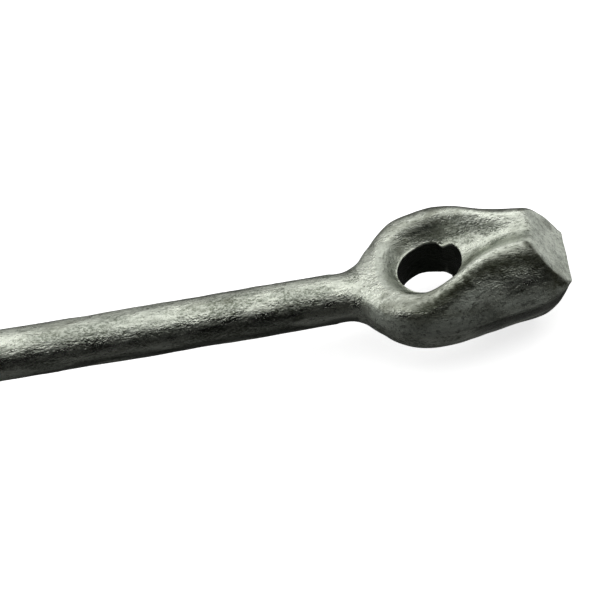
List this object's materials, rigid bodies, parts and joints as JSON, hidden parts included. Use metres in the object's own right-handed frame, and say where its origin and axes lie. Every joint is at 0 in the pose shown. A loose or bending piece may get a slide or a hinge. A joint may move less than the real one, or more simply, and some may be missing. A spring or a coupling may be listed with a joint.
{
  "type": "thimble-eye bolt",
  "caption": "Galvanised forged thimble-eye bolt: wedge-nosed eye with strand grooves, round shank, threaded end, square washer, square nut and spring lock nut.",
  "frame": {"origin": "centre of the bounding box, on the shank's axis midway between the threaded tip and the eye's outer edge", "axes": "+X along the shank towards the eye; Z through the eye's hole; Y across the eye"},
  "size_m": [0.3252, 0.0572, 0.0572],
  "materials": {
    "forged_zinc": "hot-dip galvanised forging, mottled grey, weathered",
    "washer_zinc": "hot-dip galvanised plate",
    "nut_zinc": "hot-dip galvanised nut",
    "lock_nut_zinc": "zinc-coated spring steel sheet"
  },
  "bodies": {
    "bolt": {"thimble_eye_bolt": "forged_zinc"},
    "washer": {"square_washer": "washer_zinc"},
    "nuts": {"square_nut": "nut_zinc", "spring_lock_nut": "lock_nut_zinc"}
  },
  "joints": [
    {"name": "washer_slide", "type": "slide", "parent": "bolt", "child": "washer", "axis": [1, 0, 0], "range_m": [-0.0346, 0.0392]},
    {"name": "nut_turn", "type": "hinge", "parent": "washer", "child": "nuts", "pos_m": [-0.1111, 0, 0], "axis": [1, 0, 0], "range_deg": [-5400, 6120]}
  ],
  "couplings": [
    {"joint": "nut_turn", "follows": "washer_slide", "rad_per_m": 2721.1}
  ]
}
